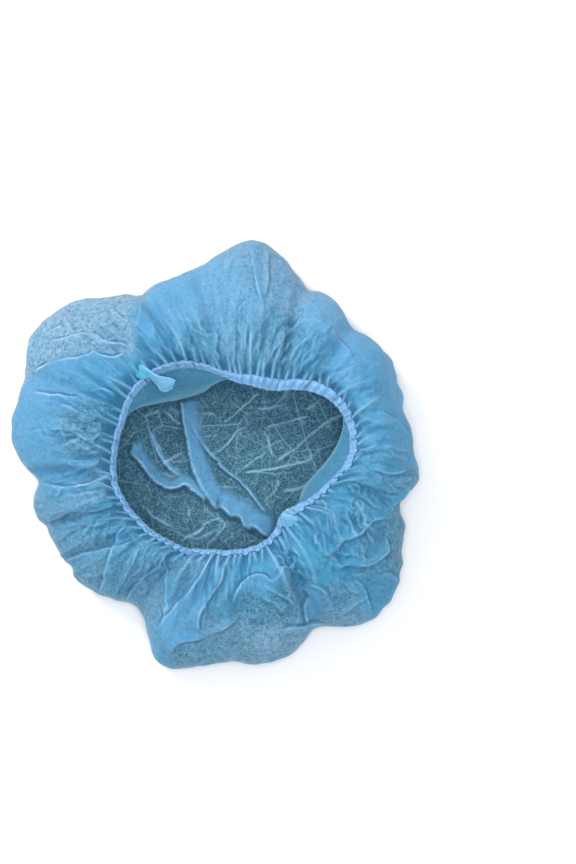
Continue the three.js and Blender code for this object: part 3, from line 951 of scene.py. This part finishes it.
def build_floor(edge):
    """The floor inside the wall's last ring, with its creases and crumpled folds."""
    shares = np.concatenate(
        [
            np.linspace(1, FLOOR_IN_VIEW, FLOOR_OUTER_ROWS, endpoint=False)[1:],
            np.linspace(FLOOR_IN_VIEW, FLOOR_MIDDLE, FLOOR_ROWS - FLOOR_OUTER_ROWS),
        ]
    )
    floor = edge[None, :, :] * np.array([1, 1, 0]) * shares[:, None, None]
    floor[:, :, 2] = edge[:, 2] * np.clip(1 - np.arange(1, len(shares) + 1) * 0.5, 0, 1)[:, None]
    shape = floor.shape[:2]
    points = floor.reshape(-1, 3)
    px, py = to_frame(points)
    ridges, creases = (
        {key: field.reshape(shape) for key, field in lay_folds(px, py, folds, steep, line).items()}
        for folds, steep, line in ((FLOOR_FOLDS, 2.8, 1.6), (FLOOR_CREASES, 2.0, 1.2))
    )
    swell = np.clip(0.8 + 0.9 * lattice_noise(points, 28.0, 31), 0, 2).reshape(shape)
    crumple = np.maximum(0, 1 - np.abs(lattice_noise(points, 17.0, 33)) * 9).reshape(shape)
    floor[:, :, 2] += softened(0.2 + swell + ridges["height"] + creases["height"] + 0.5 * crumple)
    band = ridges["double"]
    return {
        "points": floor,
        "dense": 0.1 + 0.8 * band,
        "pale": 0.1 + 0.75 * band,
        # the floor is painted darker as shade inside the cup, except where a doubled fold lies
        "inside": 1 - band,
        # painted highlights along the folds' and creases' edges and over the crumples
        "edge": np.clip(np.maximum.reduce([ridges["edge"], 2.6 * creases["edge"], 0.2 * crumple]), 0, 1),
        # painted shadow beside the folds and creases
        "painted_shadow": np.maximum(ridges["painted_shadow"], 0.7 * creases["painted_shadow"]),
        "along": FLOOR_ALONG,
    }


def build_cloth():
    """All points of the cloth from the flaps' free edge over hem and wall to the floor's middle."""
    angles = np.arange(ROUND) * 360.0 / ROUND
    rad = np.radians(angles)
    inward = np.stack([-np.cos(rad), -np.sin(rad)], axis=1)
    wall = build_wall(angles)
    floor = build_floor(wall["points"][-1, ::2])
    hem, flap = hem_and_flaps(wall["points"][0], inward, wall["gathers"][0], angles)

    ripple = np.clip(wall["gathers"][0] / 2.0, -1, 1)
    # painted highlights along the flaps' free edge, the folded edge's inner lip and its ripples' crests,
    # and painted shade in the ripples' troughs
    flap_highlight = np.zeros((FLAP_ROWS, 1))
    flap_highlight[:4, 0] = (0.95, 0.5, 0.32, 0.2)
    hem_highlight = np.tile(0.3 * np.clip(ripple, 0, 1), (HEM_ROWS, 1))
    hem_highlight[:2] += 0.35
    hem_trough_shade = 0.2 * np.clip(-ripple, 0, 1)
    middle = np.array([[0.0, 0.0, 1.0]])
    parts = [
        (flap, dict(zip(LOOKS, (0.9, 0.0, 1.0, flap_highlight, 0.0, 0.0)))),
        (hem, dict(zip(LOOKS, (1.0, 1.0, 0.0, hem_highlight, hem_trough_shade, 0.0)))),
        (wall["points"], wall),
        (floor["points"], floor),
        (middle, dict(zip(LOOKS, (0.1, 0.1, 1.0, 0.0, 0.0, FLOOR_ALONG)))),
    ]
    points = np.concatenate([grid.reshape(-1, 3) for grid, _ in parts])
    looks = {
        key: np.concatenate([np.broadcast_to(look[key], grid.shape[:-1]).ravel() for grid, look in parts])
        for key in LOOKS
    }
    turn = np.arctan2(points[:, 1] - MOUTH_CENTRE[1], points[:, 0] - MOUTH_CENTRE[0])
    looks["round_x"] = 0.1 * np.cos(turn)
    looks["round_y"] = 0.1 * np.sin(turn)
    looks["weld"] = weld_tint(points)
    return points, looks


def mesh_layout():
    """Index grids of the point rows, with the triangles and quads between them."""
    upper_count = FLAP_ROWS + HEM_ROWS + WALL_ROWS
    upper = np.arange(upper_count * ROUND).reshape(upper_count, ROUND)
    half = ROUND // 2
    floor = np.arange((FLOOR_ROWS - 1) * half).reshape(FLOOR_ROWS - 1, half) + upper.size
    centre = upper.size + floor.size
    return upper, floor, centre


def ring_quads(index):
    """Quads of a grid of rings, turning so that their normals point out of the cap."""
    a = index[:-1]
    b = index[1:]
    quads = np.stack([a, b, np.roll(b, -1, axis=1), np.roll(a, -1, axis=1)], axis=2)
    return quads.reshape(-1, 4)


def point_normals(points, faces):
    """Unit normals of points from the quads round them."""
    a, b, c, d = (points[faces[:, k]] for k in range(4))
    face = np.cross(c - a, d - b)
    total = np.empty_like(points)
    for axis in range(3):
        total[:, axis] = sum(
            np.bincount(faces[:, k], face[:, axis], len(points)) for k in range(4)
        )
    return total / np.maximum(np.linalg.norm(total, axis=1, keepdims=True), 1e-9)


def add_object(name, data):
    """A new object of the scene."""
    thing = bpy.data.objects.new(name, data)
    bpy.context.scene.collection.objects.link(thing)
    return thing


def add_mesh(name, points, faces, attributes):
    """A mesh object in metres from points in millimetres, with one value a point for each attribute."""
    used = np.unique(np.concatenate([np.asarray(group).ravel() for group in faces if len(group)]))
    lookup = np.full(len(points), -1)
    lookup[used] = np.arange(len(used))
    mesh = bpy.data.meshes.new(name)
    placed = (points[used] + ORIGIN_SHIFT) * MM
    polygons = [list(face) for group in faces for face in lookup[np.asarray(group, int)].tolist()]
    mesh.from_pydata(placed.tolist(), [], polygons)
    for key, values in attributes.items():
        layer = mesh.attributes.new(key, "FLOAT", "POINT")
        layer.data.foreach_set("value", np.asarray(values, np.float32)[used])
    mesh.polygons.foreach_set("use_smooth", [True] * len(mesh.polygons))
    mesh.update()
    return add_object(name, mesh)


def fill(node, values):
    """Sets inputs of a node, each by its name."""
    for name, value in values.items():
        node.inputs[name].default_value = value


class Nodes:
    """Short calls that build a material's nodes and return what they put out."""

    def __init__(self, name):
        self.material = bpy.data.materials.new(name)
        self.material.use_nodes = True
        self.tree = self.material.node_tree
        self.shader = self.tree.nodes["Principled BSDF"]

    def add(self, kind, **settings):
        node = self.tree.nodes.new(kind)
        for key, value in settings.items():
            setattr(node, key, value)
        return node

    def join(self, source, target):
        self.tree.links.new(source, target)

    def attribute(self, name):
        return self.add("ShaderNodeAttribute", attribute_name=name).outputs["Fac"]

    def math(self, operation, first, second=0.0):
        node = self.add("ShaderNodeMath", operation=operation)
        for socket, value in zip(node.inputs, (first, second)):
            if isinstance(value, (int, float)):
                socket.default_value = value
            else:
                self.join(value, socket)
        return node.outputs[0]

    def plus(self, first, second):
        return self.math("ADD", first, second)

    def times(self, first, *others):
        for other in others:
            first = self.math("MULTIPLY", first, other)
        return first

    def away(self, value, middle):
        return self.math("ABSOLUTE", self.math("SUBTRACT", value, middle))

    def rest(self, share):
        return self.math("SUBTRACT", 1.0, share)

    def bump(self, height, strength, distance):
        """Gives the surface a fine relief."""
        relief = self.add("ShaderNodeBump")
        fill(relief, {"Strength": strength, "Distance": distance})
        self.join(height, relief.inputs["Height"])
        self.join(relief.outputs["Normal"], self.shader.inputs["Normal"])

    def let_through(self, colour, share):
        """Lets a share of the light through the surface, tinted by a colour."""
        through = self.add("ShaderNodeBsdfTranslucent")
        self.join(colour, through.inputs["Color"])
        both = self.add("ShaderNodeMixShader")
        both.inputs["Fac"].default_value = share
        self.join(self.shader.outputs["BSDF"], both.inputs[1])
        self.join(through.outputs["BSDF"], both.inputs[2])
        self.join(both.outputs["Shader"], self.tree.nodes["Material Output"].inputs["Surface"])

    def noise(self, vector, scale, detail, rough=0.5, distortion=0.0):
        node = self.add("ShaderNodeTexNoise")
        fill(node, {"Scale": scale, "Detail": detail, "Roughness": rough, "Distortion": distortion})
        self.join(vector, node.inputs["Vector"])
        return node.outputs["Fac"]

    def mix(self, factor, first, second):
        node = self.add("ShaderNodeMix", data_type="RGBA")
        self.join(factor, node.inputs[0])
        sockets = [socket for socket in node.inputs if socket.type == "RGBA"]
        for socket, colour in zip(sockets, (first, second)):
            if isinstance(colour, tuple):
                socket.default_value = (*colour, 1.0)
            else:
                self.join(colour, socket)
        return next(socket for socket in node.outputs if socket.type == "RGBA")

    def ramp(self, factor, low, high):
        node = self.add("ShaderNodeMapRange", interpolation_type="SMOOTHSTEP")
        fill(node, {"From Min": low, "From Max": high})
        self.join(factor, node.inputs["Value"])
        return node.outputs["Result"]


def fibre_strands(nodes, place, scale, width):
    """Thin light strands: the level lines of a noise, as tangled as spun fibres."""
    level = nodes.noise(place, scale, 1.5, rough=0.45, distortion=0.6)
    return nodes.rest(nodes.ramp(nodes.away(level, 0.5), 0.0, width))


def crease_lines(nodes, place, scale, width, seed):
    """Thin straight creases: the edges of cells, shown here and there. The colour paints them as
    highlights, and the relief raises them.
    """
    cells = nodes.add("ShaderNodeTexVoronoi", feature="DISTANCE_TO_EDGE")
    fill(cells, {"Scale": scale})
    shift = nodes.add("ShaderNodeVectorMath", operation="ADD")
    nodes.join(place, shift.inputs[0])
    shift.inputs[1].default_value = (seed * 0.17, seed * 0.31, seed * 0.23)
    shifted = shift.outputs["Vector"]
    nodes.join(shifted, cells.inputs["Vector"])
    line = nodes.rest(nodes.ramp(cells.outputs["Distance"], 0.0, width))
    shown = nodes.ramp(nodes.noise(shifted, scale * 0.9, 1.0), 0.42, 0.58)
    return nodes.times(line, shown)


def cloth_patterns(nodes, pleat_scale, pleat_depth):
    """The values on the cloth's points and its fibres, gaps, clouds, creases and fine pleats."""
    look = {key: nodes.attribute(key) for key in (*LOOKS, "weld")}
    place = nodes.add("ShaderNodeTexCoord").outputs["Object"]
    spun = nodes.add("ShaderNodeCombineXYZ")
    nodes.join(nodes.attribute("round_x"), spun.inputs["X"])
    nodes.join(nodes.attribute("round_y"), spun.inputs["Y"])
    nodes.join(nodes.times(look["along"], 0.00016), spun.inputs["Z"])
    narrow = nodes.times(fibre_strands(nodes, place, 420.0, 0.06), 0.8)
    look["fibres"] = nodes.math("MAXIMUM", fibre_strands(nodes, place, 210.0, 0.035), narrow)
    for key, (scale, detail, rough, low, high) in PATTERNS.items():
        look[key] = nodes.ramp(nodes.noise(place, scale, detail, rough), low, high)
    short = nodes.times(crease_lines(nodes, place, 58.0, 0.03, 2), 0.7)
    look["creases"] = nodes.math("MAXIMUM", crease_lines(nodes, place, 31.0, 0.022, 1), short)
    look["streaks"] = nodes.noise(spun.outputs["Vector"], pleat_scale, 2.5, rough=0.55)
    look["outside"] = nodes.rest(look["inside"])
    near_seam = nodes.rest(nodes.ramp(look["along"], 8.0, 80.0))
    look["gathered"] = nodes.times(near_seam, look["outside"], pleat_depth)
    return look


def cloth_colour(nodes, look, colours):
    """Thin and dense places, gaps and fibres, and over them the painted shade and painted highlights of
    the pleats, folds and creases, and the teal tint near the welds.
    """
    dense, pale, inside, gathered = (look[key] for key in ("dense", "pale", "inside", "gathered"))
    thin_colour = nodes.mix(pale, colours["thin"], colours["pale"])
    dense_colour = nodes.mix(pale, colours["dense"], colours["dense_pale"])
    light = nodes.mix(nodes.times(pale, 0.7), colours["light"], colours["pale_light"])
    light = nodes.mix(inside, light, colours["inside_light"])
    mottle = nodes.rest(nodes.times(dense, 0.78))
    # painted shade in the fine pleats' valleys and a painted highlight along their crests
    pleat_shade = nodes.rest(nodes.ramp(look["streaks"], 0.34, 0.5))
    pleat_highlight = nodes.rest(nodes.ramp(nodes.away(look["streaks"], 0.56), 0.0, 0.035))
    creased = nodes.plus(0.14, nodes.times(inside, 0.48))
    layers = [
        (nodes.times(look["clouds"], STRENGTH["clouds"]), colours["dense_pale"]),
        # the inside colour: on the crown, painted shade inside the cup
        (inside, colours["inside"]),
        (nodes.times(look["murk"], inside, nodes.rest(dense), STRENGTH["murk"]), colours["gap"]),
        (nodes.times(mottle, STRENGTH["gaps"], look["gaps"]), colours["gap"]),
        (nodes.times(mottle, STRENGTH["fibres"], look["fibres"]), light),
        (nodes.times(pleat_shade, gathered, STRENGTH["pleat_shade"]), colours["painted_shade"]),
        (nodes.times(pleat_highlight, gathered, STRENGTH["pleat_highlight"]), light),
        # painted shadow beside the folds and painted shade between gathers
        (nodes.times(nodes.ramp(look["painted_shadow"], 0.05, 1.0), STRENGTH["painted_shadow"]), colours["painted_shade"]),
        # painted highlights along fold edges, gather crests and the brim
        (nodes.times(nodes.ramp(look["edge"], 0.1, 0.95), STRENGTH["edge"]), light),
        # painted highlights along the creases
        (nodes.times(creased, nodes.rest(nodes.times(dense, 0.9)), look["creases"]), light),
        (nodes.times(look["weld"], nodes.plus(0.12, nodes.times(look["gaps"], 0.4))), colours["weld"]),
    ]
    colour = nodes.mix(dense, thin_colour, dense_colour)
    for share, tint in layers:
        colour = nodes.mix(share, colour, tint)
    return colour


def cloth_relief(nodes, look):
    """How high the fibres, creases, fine pleats and clouds stand."""
    height = nodes.plus(nodes.times(look["fibres"], 0.1), nodes.times(look["creases"], 0.35))
    height = nodes.plus(height, nodes.times(look["streaks"], look["gathered"], 3.0))
    return nodes.plus(height, nodes.times(look["clouds"], 0.5))


def cloth_alpha(nodes, look):
    """The thin cloth outside shows a little of what lies behind, between its fibres."""
    thin = nodes.rest(look["dense"])
    between = nodes.rest(look["fibres"])
    return nodes.rest(nodes.times(thin, SEE_THROUGH, between, look["outside"]))


def cloth_material(name, colours, pleat_scale, pleat_depth):
    """Spunbond cloth: tangled fibres, thin and dense places, painted highlights on fold edges and painted
    shadows at their feet, and the crown's inside painted darker as shade.
    """
    nodes = Nodes(name)
    look = cloth_patterns(nodes, pleat_scale, pleat_depth)
    colour = cloth_colour(nodes, look, colours)
    joined = {
        "Base Color": colour,
        "Alpha": cloth_alpha(nodes, look),
        "Roughness": nodes.plus(0.64, nodes.times(look["clouds"], 0.14)),
    }
    for key, source in joined.items():
        nodes.join(source, nodes.shader.inputs[key])
    nodes.bump(cloth_relief(nodes, look), 0.6, 0.0012)
    nodes.let_through(colour, THROUGH_LIGHT)
    fill(nodes.shader, {"Sheen Weight": 0.12, "Sheen Roughness": 0.5, "Specular IOR Level": 0.25})
    return nodes.material


def make_crown(points, looks):
    """The bag: the wall, its floor and the ring of triangles that joins them."""
    upper, floor, centre = mesh_layout()
    even, odd, after = upper[-1, ::2], upper[-1, 1::2], np.roll(floor[0], -1)
    join = [
        np.stack([even, floor[0], odd], axis=1),
        np.stack([odd, floor[0], after], axis=1),
        np.stack([odd, after, np.roll(even, -1)], axis=1),
    ]
    middle = np.stack([floor[-1], np.full(ROUND // 2, centre), np.roll(floor[-1], -1)], axis=1)
    wall_faces = ring_quads(upper[FLAP_ROWS + HEM_ROWS - 1 :])
    crown = add_mesh("crown_cloth", points, [wall_faces, ring_quads(floor), *join, middle], looks)
    crown.data.materials.append(cloth_material("spunbond_cloth", CLOTH_COLOURS, 190.0, 1.0))
    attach(crown, "root")
    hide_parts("crown")


def thicken(piece, name, offset):
    """Gives a sheet the thickness of folded or pressed cloth."""
    thick = piece.modifiers.new(name, "SOLIDIFY")
    thick.thickness = EDGE_THICKNESS * MM
    thick.offset = offset


def make_hems(points, looks):
    """The folded edge in two pieces, from weld to weld, each with the flap that hangs below it."""
    upper, floor, _ = mesh_layout()
    normals = point_normals(points, np.concatenate([ring_quads(upper), ring_quads(floor)]))
    quads = ring_quads(upper[: FLAP_ROWS + HEM_ROWS + 1]).reshape(-1, ROUND, 4)
    quad_angles = (np.arange(ROUND) + 0.5) * 360.0 / ROUND
    material = cloth_material("folded_hem", HEM_COLOURS, 330.0, 0.75)
    left, right = WELD_ANGLES["left"], WELD_ANGLES["right"]
    spans = {
        "hem_back": (right - 360.0, left),
        "hem_front": (left, right),
    }
    for name, (start, end) in spans.items():
        within = np.mod(quad_angles - start, 360.0) < end - start
        faces = quads[:, within].reshape(-1, 4)
        hem = add_mesh(f"{name}_edge", points + normals * HEM_LIFT, [faces], looks)
        hem.data.materials.append(material)
        thicken(hem, "folded double", -1.0)
        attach(hem, "root")
        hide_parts(name)


def weld_material():
    """Melted and pressed fibre, paler where the tab is loose, with a painted highlight along its rolled
    edge and rim.
    """
    nodes = Nodes("melted_fibre")
    place = nodes.add("ShaderNodeTexCoord").outputs["Object"]
    cloudy = nodes.ramp(nodes.noise(place, 240.0, 3.0), 0.35, 0.7)
    pressed = nodes.mix(cloudy, (0.026, 0.23, 0.4), (0.03, 0.31, 0.45))
    loose = nodes.mix(cloudy, (0.062, 0.25, 0.41), (0.085, 0.29, 0.47))
    colour = nodes.mix(nodes.attribute("loose"), pressed, loose)
    # painted highlight along the rolled edge and rim
    colour = nodes.mix(nodes.times(nodes.attribute("edge"), 0.8), colour, (0.2, 0.48, 0.78))
    nodes.join(colour, nodes.shader.inputs["Base Color"])
    nodes.bump(nodes.noise(place, 900.0, 2.0), 0.4, 0.0003)
    fill(nodes.shader, {"Roughness": 0.5, "Sheen Weight": 0.1})
    return nodes.material


def weld_grid(rows, melted_until):
    """A tab's points, and how near its rolled edge and how loose each of them is."""
    along = np.linspace(0, 1, WELD_GRID[0])
    run = np.linspace(0, 1, len(rows))
    x0, y0, x1, y1, height, curl = (np.interp(along, run, column) for column in np.array(rows, float).T)
    points, edge, loose = [], [], []
    for row in range(WELD_GRID[0]):
        for across in np.linspace(0, 1, WELD_GRID[1]):
            px = x0[row] + (x1[row] - x0[row]) * across
            py = y0[row] + (y1[row] - y0[row]) * across
            lift = curl[row] * (1 - across) ** 2 + 0.25 * math.sin(across * 8 + along[row] * 11)
            points.append(from_frame(px, py, height[row] + lift))
            # where the tab gets its painted highlight: along its rolled upper edge and its rim
            roll = max(1 - across * 2.2, 0) * min(along[row] * 2.5, 1)
            rim = max(abs(along[row] - 0.5) * 20 - 9.3, across * 12 - 11.2, 0) * 0.5
            edge.append(min(max(roll, rim), 1))
            loose.append(min(max((along[row] - melted_until) * 5, 0), 1))
    return np.array(points), {"edge": edge, "loose": loose}


def make_welds():
    """The flattened welds where both folded edges meet, with their loose tabs."""
    material = weld_material()
    index = np.arange(WELD_GRID[0] * WELD_GRID[1]).reshape(WELD_GRID)
    corners = [index[:-1, :-1], index[:-1, 1:], index[1:, 1:], index[1:, :-1]]
    faces = np.stack(corners, axis=2).reshape(-1, 4)
    for side, rows in WELD_TABS.items():
        points, looks = weld_grid(rows, MELTED_UNTIL[side])
        weld = add_mesh(f"end_weld_{side}_tab", points, [faces], looks)
        weld.data.materials.append(material)
        thicken(weld, "pressed", 0.0)
        soft = weld.modifiers.new("rounded", "SUBSURF")
        soft.levels = 1
        soft.render_levels = 1
        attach(weld, "root")
        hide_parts(f"end_weld_{side}")


def aim(thing, target):
    """Turns a light or the camera to look at a point."""
    way = Vector(target) - thing.location
    thing.rotation_mode = "QUATERNION"
    thing.rotation_quaternion = way.to_track_quat("-Z", "Y")


def make_stage():
    """A plain pale floor and soft studio light."""
    bpy.ops.mesh.primitive_plane_add(size=6.0, location=(0, 0, -0.0004))
    floor = bpy.context.object
    floor.name = "floor"
    nodes = Nodes("pale_floor")
    fill(nodes.shader, {"Base Color": (0.88, 0.88, 0.88, 1), "Roughness": 0.9})
    floor.data.materials.append(nodes.material)

    bpy.context.scene.view_settings.view_transform = "Standard"
    world = bpy.data.worlds.new("studio")
    bpy.context.scene.world = world
    world.use_nodes = True
    fill(world.node_tree.nodes["Background"], {"Color": (0.97, 0.98, 1.0, 1), "Strength": 0.76})
    for name, place, size, power in LIGHTS:
        lamp = bpy.data.lights.new(name, "AREA")
        lamp.size = size
        lamp.energy = power
        light = add_object(name, lamp)
        light.location = place
        aim(light, (0.0, 0.0, 0.02))


def make_camera():
    """A long lens from almost straight above, as the photograph was taken."""
    lens, sensor = 85.0, 36.0
    distance = FRAME_SIZE[1] * FRAME_STEP * MM * lens / sensor
    target = from_frame(FRAME_SIZE[0] / 2, FRAME_SIZE[1] / 2, FRAME_HEIGHT) + ORIGIN_SHIFT
    back = np.array([0, -math.cos(ELEVATION), math.sin(ELEVATION)]) * distance
    camera = bpy.data.cameras.new("camera")
    camera.lens = lens
    camera.sensor_width = sensor
    thing = add_object("camera", camera)
    thing.location = target * MM + back
    aim(thing, target * MM)
    bpy.context.scene.camera = thing


make_stage()
make_camera()
cloth_points, cloth_looks = build_cloth()
make_crown(cloth_points, cloth_looks)
make_hems(cloth_points, cloth_looks)
make_welds()
